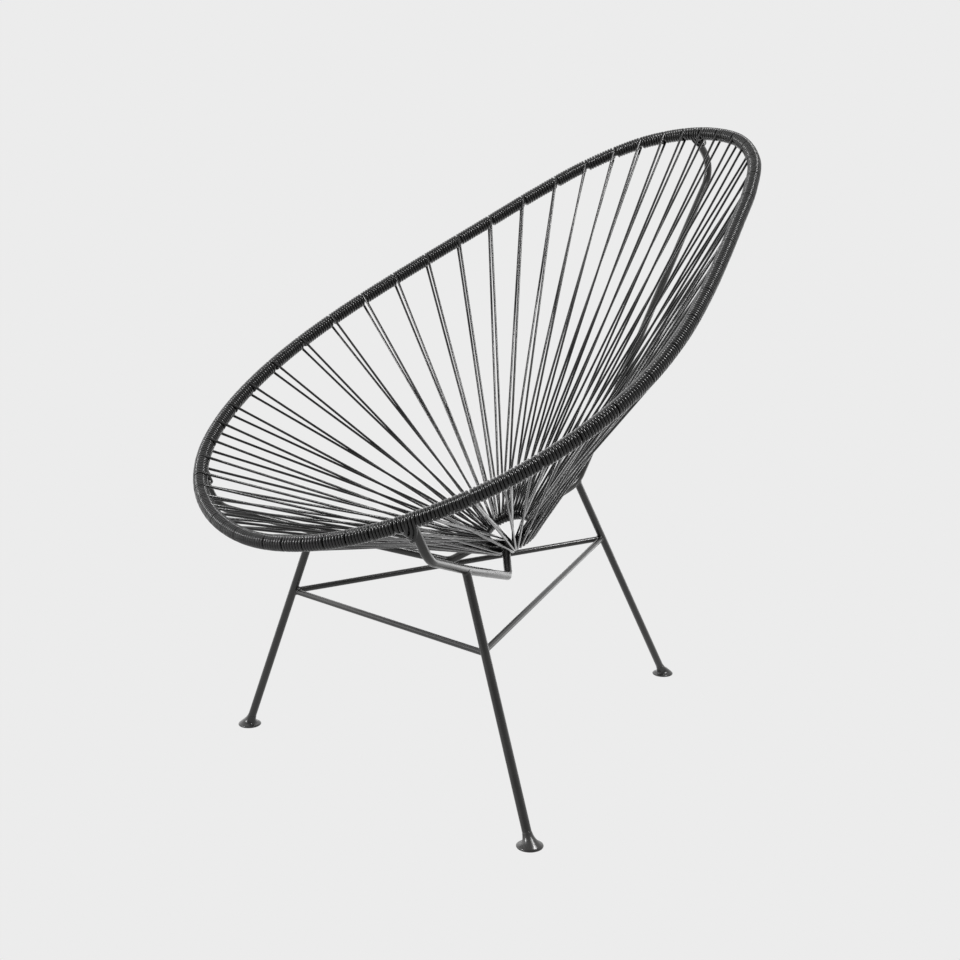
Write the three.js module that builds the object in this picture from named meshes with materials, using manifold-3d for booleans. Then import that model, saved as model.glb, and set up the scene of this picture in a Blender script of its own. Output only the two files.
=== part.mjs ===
// Cord-wound garden chair: an egg-shaped steel ring and a small inner ring, joined by
// three bent hoops, stand on three splayed legs. A cord covers both rings and spans
// between them as a web, which is the seat and the back.
// Millimetres, +Z up, the chair faces -Y. Origin: floor, under the middle of the chair.
import * as THREE from 'three';
import { mergeVertices } from 'three/addons/utils/BufferGeometryUtils.js';
import Module from 'manifold-3d';

const wasm = await Module();
wasm.setup();

// ---------------------------------------------------------------- driving dimensions
const ROD_R = 6;                // frame rod, 12 mm
const STRETCHER_R = 4.25;       // stretcher rod, 8.5 mm
const GAP = 0.3;                // between neighbouring pieces
const SLEEVE_R = 10.4;          // outside of the wound cord (corner radius of its section)
const STRAND_R = 1.35;          // strand of the web (corner radius of its section)
const STRAND_ON_R = 8.4;        // distance of a strand from the axis of the rod it leaves
const STRAND_SIDE = 1.9;        // half the distance between the two strands of a pair
const Y_SHIFT = -268.2;         // puts the middle of the chair over the origin

// outer ring, right half seen from behind, top centre to front centre; mirrored in X
const RING = [[0, 692, 903.1], [93.8, 674.4, 890.8], [165.3, 620.2, 855.5], [211, 547.6, 810.3],
  [245.1, 469.6, 763.2], [278.3, 391.1, 716.5], [309.1, 311.6, 669.7], [333.5, 230.3, 622.4],
  [344.4, 146.5, 574.6], [335.7, 61.9, 527.8], [306.2, -19, 483.2], [255.1, -90.7, 442.6],
  [183.1, -146.1, 408.7], [95.7, -180.7, 385.3], [0, -192.7, 376.4]];
// places along the ring, from the top, where a pair of strands leaves it
const NOTCH = [18, 55, 98, 144, 196, 254, 320, 387, 451, 514, 577, 641, 706, 771, 838, 899,
  955, 1001, 1047, 1096, 1143, 1174, 1205, 1236, 1267, 1299, 1331];
// inner ring: centre, radius, and the two directions of its plane
const HUB = new THREE.Vector3(0, 265.5, 314.7);
const HUB_R = 40;
const SIDE = new THREE.Vector3(1, 0, 0);
const BACK = new THREE.Vector3(0, 0.8634, 0.5045);
const UP = new THREE.Vector3(0, -0.5045, 0.8634);
// front hoop (left side): from the ring's underside, down, in under the seat, and up to the inner ring
const FRONT_HOOP = [[218, -121.5, 420], [218.7, -104.9, 387.4], [218.4, -100.3, 379.9], [216.9, -94.4, 373.4],
  [214.4, -87.6, 368.2], [211, -80.3, 364.6], [158.6, 23.7, 326.7], [65.8, 194.9, 269.8],
  [63, 199.4, 269], [59.8, 203.6, 269.5], [56.3, 207.1, 271.4], [23.8, 236.2, 294.6]];
// rear hoop, in the plane X = 0: from the top of the ring, down the back, in to the inner ring
const REAR_HOOP = [[0, 694.4, 900.6], [0, 720.2, 874.1], [0, 726.9, 865.2], [0, 730.8, 854.7], [0, 731.9, 843.6],
  [0, 729.8, 832.7], [0, 724.9, 822.7], [0, 711.8, 803.1], [0, 428.5, 381.1], [0, 421.5, 372.3],
  [0, 411, 364.9], [0, 398, 359.1], [0, 346, 343.2], [0, 301, 334.9]];
// legs: foot point on the floor, and the change of x and y for each mm of height
const LEGS = {
  leg_front_left: { foot: [298.586, 0.237], lean: [-0.42836, 0.07191], top: 326.7 },
  leg_front_right: { foot: [-298.586, 0.237], lean: [0.42836, 0.07191], top: 326.7 },
  leg_rear: { foot: [0, 649.324], lean: [0, -0.62924], top: 367.7 },
};
// height of each stretcher's axis where it meets the axes of its two legs
const STRETCHER_Z = { front: [225.0, 229.0], left: [227.3, 265.8], right: [231.5, 267.4] };
// foot: half section of a glide with a domed rim and a flared neck
const FOOT_PROFILE = [[0, 0], [13.6, 0], [16.4, 0.7], [17.3, 2.2], [16.8, 3.7], [14.2, 4.6],
  [11.2, 5.9], [9.9, 7.2], [9.5, 8.4], [0, 8.4]];
const LEG_FOOT_Z = 8.4 + GAP;

// ---------------------------------------------------------------- finishes
const steel = () => new THREE.MeshStandardMaterial({ color: 0x141414, roughness: 0.38, metalness: 0.2 });
const cord = () => new THREE.MeshStandardMaterial({ color: 0x101012, roughness: 0.25, metalness: 0 });

// ---------------------------------------------------------------- sweeps
const V = (a) => new THREE.Vector3(a[0], a[1], a[2]);

// A path that keeps the stations and section directions that it is given.
class Stations extends THREE.Curve {
  constructor(points, across, over) {
    super();
    this.points = points;
    this.across = across;
    this.over = over;
  }
  getPoint(t, target = new THREE.Vector3()) {
    const n = this.points.length - 1;
    const i = Math.min(Math.round(t * n), n);
    return target.copy(this.points[i]);
  }
  getPointAt(t, target) { return this.getPoint(t, target); }
  computeFrenetFrames() {
    const tangents = this.points.map((p, i) => this.across[i].clone().cross(this.over[i]).normalize());
    return { tangents, normals: this.across, binormals: this.over };
  }
}

const polygon = (r, sides, turn = 0) => Array.from({ length: sides }, (_, k) => {
  const a = turn + (2 * Math.PI * k) / sides;
  return new THREE.Vector2(r * Math.cos(a), r * Math.sin(a));
});

function section(r, sides, hole, holeSides) {
  const shape = new THREE.Shape(polygon(r, sides));
  if (hole) shape.holes.push(new THREE.Path(polygon(hole, holeSides, Math.PI / 8)));
  return shape;
}

function sweep(shape, path) {
  return new THREE.ExtrudeGeometry(shape, { steps: path.points.length - 1, extrudePath: path });
}

// Stations of an open polyline, with section directions carried along it without twist.
function openPath(points) {
  const n = points.length;
  const dir = [];
  for (let i = 0; i < n - 1; i++) dir.push(points[i + 1].clone().sub(points[i]).normalize());
  const tan = points.map((p, i) => {
    const t = new THREE.Vector3();
    if (i > 0) t.add(dir[i - 1]);
    if (i < n - 1) t.add(dir[i]);
    return t.normalize();
  });
  const across = [];
  const over = [];
  let a = Math.abs(tan[0].x) < 0.9 ? new THREE.Vector3(1, 0, 0) : new THREE.Vector3(0, 1, 0);
  for (let i = 0; i < n; i++) {
    a = a.clone().addScaledVector(tan[i], -a.dot(tan[i])).normalize();
    across.push(a);
    over.push(tan[i].clone().cross(a));
  }
  return new Stations(points, across, over);
}

const rod = (points, r, sides = 10) => sweep(section(r, sides), openPath(points));

// ---------------------------------------------------------------- solids
function solid(geometry) {
  const g = geometry.clone();
  for (const name of Object.keys(g.attributes)) if (name !== 'position') g.deleteAttribute(name);
  const m = mergeVertices(g, 1e-4);
  return new wasm.Manifold(new wasm.Mesh({
    numProp: 3,
    vertProperties: new Float32Array(m.attributes.position.array),
    triVerts: new Uint32Array(m.index.array),
  }));
}

// The largest single body of a cut solid, as a geometry.
function geometryOf(manifold) {
  const bodies = manifold.decompose().map((b) => b.asOriginal().simplify(0.03));
  bodies.sort((p, q) => q.volume() - p.volume());
  const mesh = bodies[0].getMesh();
  const g = new THREE.BufferGeometry();
  g.setAttribute('position', new THREE.BufferAttribute(new Float32Array(mesh.vertProperties), 3));
  g.setIndex(new THREE.BufferAttribute(new Uint32Array(mesh.triVerts), 1));
  g.computeVertexNormals();
  return g;
}

const chair = new THREE.Group();
function add(name, geometry, material) {
  const mesh = new THREE.Mesh(geometry, material);
  mesh.name = name;
  chair.add(mesh);
}

const CLEAR_R = (r, sides) => r + GAP / Math.cos(Math.PI / sides) + 0.02;

// ---------------------------------------------------------------- outer ring
const half = RING.map(V);
const control = half.concat(half.slice(1, -1).reverse().map((p) => new THREE.Vector3(-p.x, p.y, p.z)));
const dense = [];
for (let i = 0; i < control.length; i++) {
  const at = (k) => control[(i + k + control.length) % control.length];
  const [p0, p1, p2, p3] = [at(-1), at(0), at(1), at(2)];
  const m1 = p2.clone().sub(p0).multiplyScalar(0.5);
  const m2 = p3.clone().sub(p1).multiplyScalar(0.5);
  for (let k = 0; k < 40; k++) {
    const t = k / 40;
    dense.push(p1.clone().multiplyScalar(2 * t ** 3 - 3 * t ** 2 + 1)
      .addScaledVector(p2, -2 * t ** 3 + 3 * t ** 2)
      .addScaledVector(m1, t ** 3 - 2 * t ** 2 + t)
      .addScaledVector(m2, t ** 3 - t ** 2));
  }
}
dense.push(dense[0].clone());
const along = [0];
for (let i = 1; i < dense.length; i++) along.push(along[i - 1] + dense[i].distanceTo(dense[i - 1]));
const RING_LENGTH = along[along.length - 1];

function ringAt(s) {
  s = ((s % RING_LENGTH) + RING_LENGTH) % RING_LENGTH;
  let lo = 0;
  let hi = along.length - 1;
  while (hi - lo > 1) {
    const mid = (lo + hi) >> 1;
    if (along[mid] <= s) lo = mid; else hi = mid;
  }
  return dense[lo].clone().lerp(dense[hi], (s - along[lo]) / (along[hi] - along[lo]));
}
const ringTangent = (s) => ringAt(s + 1).sub(ringAt(s - 1)).normalize();

const notchS = NOTCH.concat(NOTCH.slice().reverse().map((s) => RING_LENGTH - s));
const COUNT = notchS.length;
const wrap = (i) => ((i % COUNT) + COUNT) % COUNT;
const node = notchS.map(ringAt);
const nodeDir = node.map((p, i) => node[wrap(i + 1)].clone().sub(p).normalize());
const nodeTan = node.map((p, i) => nodeDir[i].clone().add(nodeDir[wrap(i - 1)]).normalize());
const nodeUp = nodeTan.map((t) => UP.clone().addScaledVector(t, -UP.dot(t)).normalize());
const nodeOver = nodeTan.map((t, i) => t.clone().cross(nodeUp[i]));

function ringPath(from, to, inset = 0) {
  const ids = [];
  for (let i = from; i <= to; i++) ids.push(wrap(i));
  const points = ids.map((i) => node[i].clone());
  points[0].addScaledVector(nodeDir[ids[0]], inset);
  points[points.length - 1].addScaledVector(nodeDir[wrap(to - 1)], -inset);
  return new Stations(points, ids.map((i) => nodeUp[i]), ids.map((i) => nodeOver[i]));
}
const ringSolid = (r, sides) => solid(sweep(section(r, sides), ringPath(0, COUNT / 2)))
  .add(solid(sweep(section(r, sides), ringPath(COUNT / 2, COUNT))));
add('outer_ring', geometryOf(ringSolid(ROD_R, 10)), steel());
const ringClear = ringSolid(CLEAR_R(ROD_R, 10), 10);

// ---------------------------------------------------------------- inner ring
// angle on the inner ring that belongs to each notch, from the back, increasing toward +X
const PHI_STEP = 7.3;
const phiHalf = NOTCH.map((_, k) => (k < 20 ? PHI_STEP * k + 5 : 0));
for (let k = 20; k < 27; k++) phiHalf[k] = phiHalf[19] + ((177.6 - phiHalf[19]) * (k - 19)) / 7;
const phi = phiHalf.concat(phiHalf.slice().reverse().map((a) => 360 - a)).map(THREE.MathUtils.degToRad);
const hubAt = (a) => HUB.clone().addScaledVector(SIDE, HUB_R * Math.sin(a)).addScaledVector(BACK, HUB_R * Math.cos(a));
const hubTangent = (a) => SIDE.clone().multiplyScalar(Math.cos(a)).addScaledVector(BACK, -Math.sin(a));

const LOOPS = 3;                          // loops of cord in one sector of the web
const SECTORS = COUNT / LOOPS;
const sectorStart = (k) => LOOPS * k - 2;
const hubNode = Array.from({ length: SECTORS }, (_, k) => phi[wrap(sectorStart(k))]);

function hubPath(angles, inset = 0) {
  const points = angles.map(hubAt);
  const n = points.length - 1;
  const d0 = points[1].clone().sub(points[0]).normalize();
  const d1 = points[n].clone().sub(points[n - 1]).normalize();
  points[0].addScaledVector(d0, inset);
  points[n].addScaledVector(d1, -inset);
  const out = angles.map((a) => SIDE.clone().multiplyScalar(Math.sin(a)).addScaledVector(BACK, Math.cos(a)));
  const over = angles.map((a, i) => hubTangent(a).cross(out[i]));
  return new Stations(points, out, over);
}
function hubSolid(r, sides) {
  const a = hubNode.map((v, k) => (k === 0 && v > Math.PI ? v - 2 * Math.PI : v));
  const first = a.slice(0, 10);
  const second = a.slice(9).concat([a[0] + 2 * Math.PI]);
  return solid(sweep(section(r, sides), hubPath(first))).add(solid(sweep(section(r, sides), hubPath(second))));
}
add('inner_ring', geometryOf(hubSolid(ROD_R, 10)), steel());
const hubClear = hubSolid(CLEAR_R(ROD_R, 10), 10);

// ---------------------------------------------------------------- hoops
const mirrored = (list) => list.map(([x, y, z]) => [-x, y, z]);
const hoopLines = {
  hoop_front_left: FRONT_HOOP,
  hoop_front_right: mirrored(FRONT_HOOP),
  hoop_rear: REAR_HOOP,
};
const hoopClear = {};
for (const [name, line] of Object.entries(hoopLines)) {
  const points = line.map(V);
  hoopClear[name] = solid(rod(points, CLEAR_R(ROD_R, 10)));
  add(name, geometryOf(solid(rod(points, ROD_R)).subtract(ringClear).subtract(hubClear)), steel());
}

// ---------------------------------------------------------------- legs and feet
const legAt = (leg, z) => new THREE.Vector3(leg.foot[0] + leg.lean[0] * z, leg.foot[1] + leg.lean[1] * z, z);

// A straight leg whose lower end is cut level, to stand on the foot.
function legGeometry(leg, r) {
  const d = legAt(leg, 1).sub(legAt(leg, 0)).normalize();
  const path = openPath([legAt(leg, LEG_FOOT_Z), legAt(leg, leg.top)]);
  path.across[0] = path.across[0].clone().addScaledVector(d, -path.across[0].z / d.z);
  path.over[0] = path.over[0].clone().addScaledVector(d, -path.over[0].z / d.z);
  return sweep(section(r, 10), path);
}
const legClear = {};
for (const [name, leg] of Object.entries(LEGS)) {
  legClear[name] = solid(legGeometry(leg, CLEAR_R(ROD_R, 10)));
  let body = solid(legGeometry(leg, ROD_R));
  for (const hoop of Object.values(hoopClear)) body = body.subtract(hoop);
  add(name, geometryOf(body), steel());

  const foot = new THREE.LatheGeometry(FOOT_PROFILE.map(([r, z]) => new THREE.Vector2(r, z)), 16);
  foot.rotateX(Math.PI / 2);
  foot.translate(leg.foot[0] + leg.lean[0] * 4, leg.foot[1] + leg.lean[1] * 4, 0);
  add(name.replace('leg', 'foot'), geometryOf(solid(foot)), steel());
}

// ---------------------------------------------------------------- stretchers
const inward = (from, a, b) => a.clone().sub(from).normalize().add(b.clone().sub(from).normalize()).normalize();
const legLine = { left: LEGS.leg_front_left, right: LEGS.leg_front_right, rear: LEGS.leg_rear };
// Point inside the ring of stretchers where one at height z touches a leg's axis line, moved in by the rod's radius.
function jointAt(name, z) {
  const [a, b] = Object.keys(legLine).filter((k) => k !== name).map((k) => legAt(legLine[k], z));
  const p = legAt(legLine[name], z);
  return p.clone().addScaledVector(inward(p, a, b), ROD_R);
}
const ends = {
  front: [jointAt('left', STRETCHER_Z.front[0]), jointAt('right', STRETCHER_Z.front[1])],
  left: [jointAt('left', STRETCHER_Z.left[0]), jointAt('rear', STRETCHER_Z.left[1])],
  right: [jointAt('right', STRETCHER_Z.right[0]), jointAt('rear', STRETCHER_Z.right[1])],
};
function stretcher(a, b, r) {
  const d = b.clone().sub(a).normalize();
  return rod([a.clone().addScaledVector(d, -4), b.clone().addScaledVector(d, 4)], r, 8);
}
const clearLegs = (body) => Object.values(legClear).reduce((m, leg) => m.subtract(leg), body);
const frontClear = solid(stretcher(...ends.front, CLEAR_R(STRETCHER_R, 8)));
add('stretcher_front', geometryOf(clearLegs(solid(stretcher(...ends.front, STRETCHER_R)))), steel());
for (const [side, sign] of [['left', 1], ['right', -1]]) {
  const otherHalf = new THREE.BoxGeometry(40, 80, 80);
  const rear = ends[side][1];
  otherHalf.translate(rear.x - sign * (20 - GAP / 2), rear.y, rear.z);
  const body = clearLegs(solid(stretcher(...ends[side], STRETCHER_R)))
    .subtract(frontClear).subtract(solid(otherHalf));
  add(`stretcher_${side}`, geometryOf(body), steel());
}

// ---------------------------------------------------------------- cord web
// Point where a straight strand toward `aim` leaves a rod: on the upper (+1) or lower (-1) side.
function leavePoint(at, tangent, aim, side) {
  const e = aim.clone().sub(at);
  e.addScaledVector(tangent, -e.dot(tangent));
  const d = e.length();
  e.divideScalar(d);
  const m = tangent.clone().cross(e);
  if (m.dot(UP) < 0) m.negate();
  const c = STRAND_ON_R / d;
  return at.clone().addScaledVector(e, STRAND_ON_R * c).addScaledVector(m, side * STRAND_ON_R * Math.sqrt(1 - c * c));
}

function strand(i, over, clear = 0) {
  // over: leaves the top of the outer ring and passes under the inner ring, else the reverse
  const next = phi[wrap(i + (over ? 1 : -1))] + (over && i === COUNT - 1 ? 2 * Math.PI : 0)
    - (!over && i === 0 ? 2 * Math.PI : 0);
  const a = 0.5 * (phi[i] + next);
  const Q = hubAt(a);
  // a strand that runs askew to the ring starts further from its partner
  const askew = ringTangent(notchS[i]).dot(Q.clone().sub(ringAt(notchS[i])).normalize());
  const side = STRAND_SIDE / Math.sqrt(1 - askew * askew);
  const s = notchS[i] + (over ? side : -side);
  const P = ringAt(s);
  const p = leavePoint(P, ringTangent(s), Q, over ? 1 : -1);
  const q = leavePoint(Q, hubTangent(a), P, over ? -1 : 1);
  const d = q.clone().sub(p).normalize();
  const past = 1.4 + clear;
  const r = clear ? STRAND_R + clear / Math.cos(Math.PI / 6) + 0.02 : STRAND_R;
  return solid(rod([p.addScaledVector(d, -past), q.addScaledVector(d, past)], r, 6));
}
const strandsOf = (start, clear) => {
  let all;
  for (let i = start; i < start + LOOPS; i++) {
    for (const one of [strand(wrap(i), true, clear), strand(wrap(i + 1), false, clear)]) all = all ? all.add(one) : one;
  }
  return all;
};

const SLEEVE = section(SLEEVE_R, 10, CLEAR_R(ROD_R, 8) + 0.2, 8);
for (let k = 0; k < SECTORS; k++) {
  const start = sectorStart(k);
  const a0 = phi[wrap(start)];
  const a1 = phi[wrap(start + LOOPS)];
  const web = solid(sweep(SLEEVE, ringPath(start, start + LOOPS, 0.2)))
    .add(solid(sweep(SLEEVE, hubPath([a0, a1 < a0 ? a1 + 2 * Math.PI : a1], 0.2))))
    .subtract(strandsOf(start - LOOPS, GAP))
    .subtract(strandsOf(start + LOOPS, GAP));
  let body = web.add(strandsOf(start, 0));
  for (const hoop of Object.values(hoopClear)) body = body.subtract(hoop);
  add(`seat_cord_${String(k + 1).padStart(2, '0')}`, geometryOf(body), cord());
}

chair.position.y = Y_SHIFT;

export default chair;
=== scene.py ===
"""Looks of the cord-wound lounge chair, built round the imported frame. Metres, +Z up, the chair faces -Y."""
import math

import bpy
import numpy as np
from mathutils import Matrix, Vector


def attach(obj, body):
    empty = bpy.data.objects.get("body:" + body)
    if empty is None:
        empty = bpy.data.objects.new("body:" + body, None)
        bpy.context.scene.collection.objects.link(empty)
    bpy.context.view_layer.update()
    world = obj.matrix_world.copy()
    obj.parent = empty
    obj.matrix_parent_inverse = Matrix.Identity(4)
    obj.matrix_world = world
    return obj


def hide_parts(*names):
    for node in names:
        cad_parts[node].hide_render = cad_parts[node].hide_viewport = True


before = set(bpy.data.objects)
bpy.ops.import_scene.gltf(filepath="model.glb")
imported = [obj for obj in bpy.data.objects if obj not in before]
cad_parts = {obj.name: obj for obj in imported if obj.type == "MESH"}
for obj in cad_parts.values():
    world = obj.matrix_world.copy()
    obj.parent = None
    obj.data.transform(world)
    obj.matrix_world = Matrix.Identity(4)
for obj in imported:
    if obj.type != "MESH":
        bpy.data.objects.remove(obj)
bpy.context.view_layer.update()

MM = 0.001
Y_SHIFT = -268.2

# ------------------------------------------------------------------ driving dimensions, mm
ROD_R = 6.0            # frame rod
STRETCHER_R = 4.25     # stretcher rod
CORD_R = 2.11          # cord, 4.2 across
TAUT_R = 1.82          # the cord is stretched thinner between the rods
WOUND_R = ROD_R + 2.1  # centre line of the cord on a rod
PITCH = 4.5            # from turn to turn along the ring
LAT = 1.75             # half the distance between the two strands that leave together

RING = [[0, 692, 903.1], [93.8, 674.4, 890.8], [165.3, 620.2, 855.5], [211, 547.6, 810.3],
        [245.1, 469.6, 763.2], [278.3, 391.1, 716.5], [309.1, 311.6, 669.7], [333.5, 230.3, 622.4],
        [344.4, 146.5, 574.6], [335.7, 61.9, 527.8], [306.2, -19, 483.2], [255.1, -90.7, 442.6],
        [183.1, -146.1, 408.7], [95.7, -180.7, 385.3], [0, -192.7, 376.4]]
NOTCH = [18, 55, 98, 144, 196, 254, 320, 387, 451, 514, 577, 641, 706, 771, 838, 899,
         955, 1001, 1047, 1096, 1143, 1174, 1205, 1236, 1267, 1299, 1331]
HUB = np.array([0, 265.5, 314.7])
HUB_R = 40.0
SIDE = np.array([1.0, 0, 0])
BACK = np.array([0, 0.8634, 0.5045])
UP = np.array([0, -0.5045, 0.8634])
LEGS = {
    "leg_front_left": dict(foot=(298.586, 0.237), lean=(-0.42836, 0.07191), top=326.7),
    "leg_front_right": dict(foot=(-298.586, 0.237), lean=(0.42836, 0.07191), top=326.7),
    "leg_rear": dict(foot=(0.0, 649.324), lean=(0.0, -0.62924), top=367.7),
}
# height of each stretcher's axis where it meets the axes of its two legs
STRETCHER_Z = {"front": (225.0, 229.0), "left": (227.3, 265.8), "right": (231.5, 267.4)}


def vec(*a):
    return np.array(a, float)


def unit(v):
    return v / np.linalg.norm(v)


def mirror(p):
    return np.asarray(p, float) * [-1, 1, 1]


def noise(i, k=0):
    """A fixed number between -1 and 1 for each i and k."""
    x = math.sin(i * 12.9898 + k * 78.233 + 4.1414) * 43758.5453
    return 2 * (x - math.floor(x)) - 1


# ------------------------------------------------------------------ materials
def new_material(name):
    m = bpy.data.materials.new(name)
    m.use_nodes = True
    nt = m.node_tree
    nt.nodes.clear()
    out = nt.nodes.new("ShaderNodeOutputMaterial")
    bsdf = nt.nodes.new("ShaderNodeBsdfPrincipled")
    nt.links.new(bsdf.outputs[0], out.inputs[0])
    return m, nt, bsdf


def node(nt, kind, **inputs):
    n = nt.nodes.new(kind)
    for k, v in inputs.items():
        if hasattr(n, k):
            setattr(n, k, v)
        else:
            n.inputs[k.replace("_", " ")].default_value = v
    return n


def ramp(nt, source, stops):
    r = nt.nodes.new("ShaderNodeValToRGB")
    nt.links.new(source, r.inputs[0])
    e = r.color_ramp.elements
    while len(e) < len(stops):
        e.new(0.5)
    for el, (pos, value) in zip(e, stops):
        el.position = pos
        el.color = (value if isinstance(value, tuple) else (value, value, value)) + (1,)
    return r.outputs[0]


def paint_material():
    """Black powder coat on steel: satin, fine orange peel, faint cloudiness and dust."""
    m, nt, b = new_material("painted_steel")
    co = nt.nodes.new("ShaderNodeTexCoord").outputs["Object"]
    cloud = node(nt, "ShaderNodeTexNoise", Scale=22.0, Detail=4.0, Roughness=0.55)
    nt.links.new(co, cloud.inputs["Vector"])
    nt.links.new(ramp(nt, cloud.outputs["Fac"], [(0.3, (0.0135, 0.0133, 0.013)), (0.7, (0.0205, 0.02, 0.0193))]), b.inputs["Base Color"])
    rough = node(nt, "ShaderNodeTexNoise", Scale=90.0, Detail=3.0, Roughness=0.6)
    nt.links.new(co, rough.inputs["Vector"])
    nt.links.new(ramp(nt, rough.outputs["Fac"], [(0.3, 0.23), (0.7, 0.31)]), b.inputs["Roughness"])
    peel = node(nt, "ShaderNodeTexNoise", Scale=900.0, Detail=2.0, Roughness=0.5)
    nt.links.new(co, peel.inputs["Vector"])
    bump = node(nt, "ShaderNodeBump", Strength=0.05, Distance=0.0003)
    nt.links.new(peel.outputs["Fac"], bump.inputs["Height"])
    nt.links.new(bump.outputs[0], b.inputs["Normal"])
    b.inputs["IOR"].default_value = 1.5
    return m


def cord_material():
    """Black vinyl cord: glossy, with faint lines along it from the die it was drawn through."""
    m, nt, b = new_material("vinyl_cord")
    uv = nt.nodes.new("ShaderNodeTexCoord").outputs["UV"]
    stretch = node(nt, "ShaderNodeMapping")
    stretch.inputs["Scale"].default_value = (3.0, 26.0, 1.0)
    nt.links.new(uv, stretch.inputs["Vector"])
    lines = node(nt, "ShaderNodeTexNoise", Scale=1.0, Detail=3.0, Roughness=0.6)
    nt.links.new(stretch.outputs[0], lines.inputs["Vector"])
    co = nt.nodes.new("ShaderNodeTexCoord").outputs["Object"]
    haze = node(nt, "ShaderNodeTexNoise", Scale=60.0, Detail=4.0, Roughness=0.6)
    nt.links.new(co, haze.inputs["Vector"])
    nt.links.new(ramp(nt, haze.outputs["Fac"], [(0.3, (0.0045, 0.0045, 0.0047)), (0.75, (0.0085, 0.0083, 0.008))]), b.inputs["Base Color"])
    nt.links.new(ramp(nt, lines.outputs["Fac"], [(0.3, 0.17), (0.75, 0.25)]), b.inputs["Roughness"])
    bump = node(nt, "ShaderNodeBump", Strength=0.04, Distance=0.0001)
    nt.links.new(lines.outputs["Fac"], bump.inputs["Height"])
    nt.links.new(bump.outputs[0], b.inputs["Normal"])
    b.inputs["IOR"].default_value = 1.47
    return m


PAINT = paint_material()
VINYL = cord_material()


# ------------------------------------------------------------------ mesh code
def mesh_object(name, verts, faces, material, uv=None):
    """verts in design millimetres."""
    v = (np.asarray(verts, float) + [0, Y_SHIFT, 0]) * MM
    me = bpy.data.meshes.new(name)
    me.from_pydata(v.tolist(), [], faces)
    if uv is not None:
        layer = me.uv_layers.new(name="UVMap")
        layer.data.foreach_set("uv", np.asarray(uv, np.float32).reshape(-1))
    me.polygons.foreach_set("use_smooth", [True] * len(me.polygons))
    me.update()
    ob = bpy.data.objects.new(name, me)
    bpy.context.scene.collection.objects.link(ob)
    me.materials.append(material)
    return ob


def transport(points, closed=False, start=None):
    """Directions along a path and section directions carried along it without twist."""
    P = np.asarray(points, float)
    if closed:
        T = np.roll(P, -1, 0) - np.roll(P, 1, 0)
    else:
        T = np.gradient(P, axis=0)
        T[1:-1] = (P[2:] - P[1:-1]) / np.linalg.norm(P[2:] - P[1:-1], axis=1)[:, None] + (P[1:-1] - P[:-2]) / np.linalg.norm(P[1:-1] - P[:-2], axis=1)[:, None]
    T /= np.linalg.norm(T, axis=1)[:, None]
    A = np.zeros_like(P)
    a = start if start is not None else (vec(1, 0, 0) if abs(T[0][0]) < 0.8 else vec(0, 0, 1))
    for i in range(len(P)):
        a = a - T[i] * (a @ T[i])
        a = a / math.sqrt(a @ a)
        A[i] = a
    B = np.cross(T, A)
    return T, A, B


def lattice(rows, sides, first=0):
    """Quads between consecutive rings of vertices."""
    out = []
    for r in range(rows - 1):
        a, b = first + r * sides, first + (r + 1) * sides
        for k in range(sides):
            k2 = (k + 1) % sides
            out.append((a + k, a + k2, b + k2, b + k))
    return out


def tube_rings(points, radius, sides, start=None):
    T, A, B = transport(points, start=start)
    ang = np.arange(sides) * 2 * math.pi / sides
    r = np.broadcast_to(np.asarray(radius, float), (len(points),))
    ring = A[:, None, :] * np.cos(ang)[None, :, None] + B[:, None, :] * np.sin(ang)[None, :, None]
    return np.asarray(points)[:, None, :] + ring * r[:, None, None], T


def close_tube(name, rings, material, cap_start=True, cap_end=True):
    """rings: list of (sides, 3) arrays in order. Both ends are closed with a fan."""
    rings = [np.asarray(r, float) for r in rings]
    sides = len(rings[0])
    V = np.vstack(rings)
    F = lattice(len(rings), sides)
    V = V.tolist()
    for k, (ring, flip) in enumerate(((rings[0], True), (rings[-1], False))):
        base = 0 if k == 0 else (len(rings) - 1) * sides
        V.append(ring.mean(0).tolist())
        c = len(V) - 1
        for i in range(sides):
            j = (i + 1) % sides
            F.append((base + j, base + i, c) if flip else (base + i, base + j, c))
    return mesh_object(name, V, F, material)


def line_points(a, b, step=8.0):
    n = max(2, int(np.linalg.norm(np.asarray(b) - a) / step) + 1)
    return [np.asarray(a) + (np.asarray(b) - a) * t for t in np.linspace(0, 1, n)]


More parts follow.
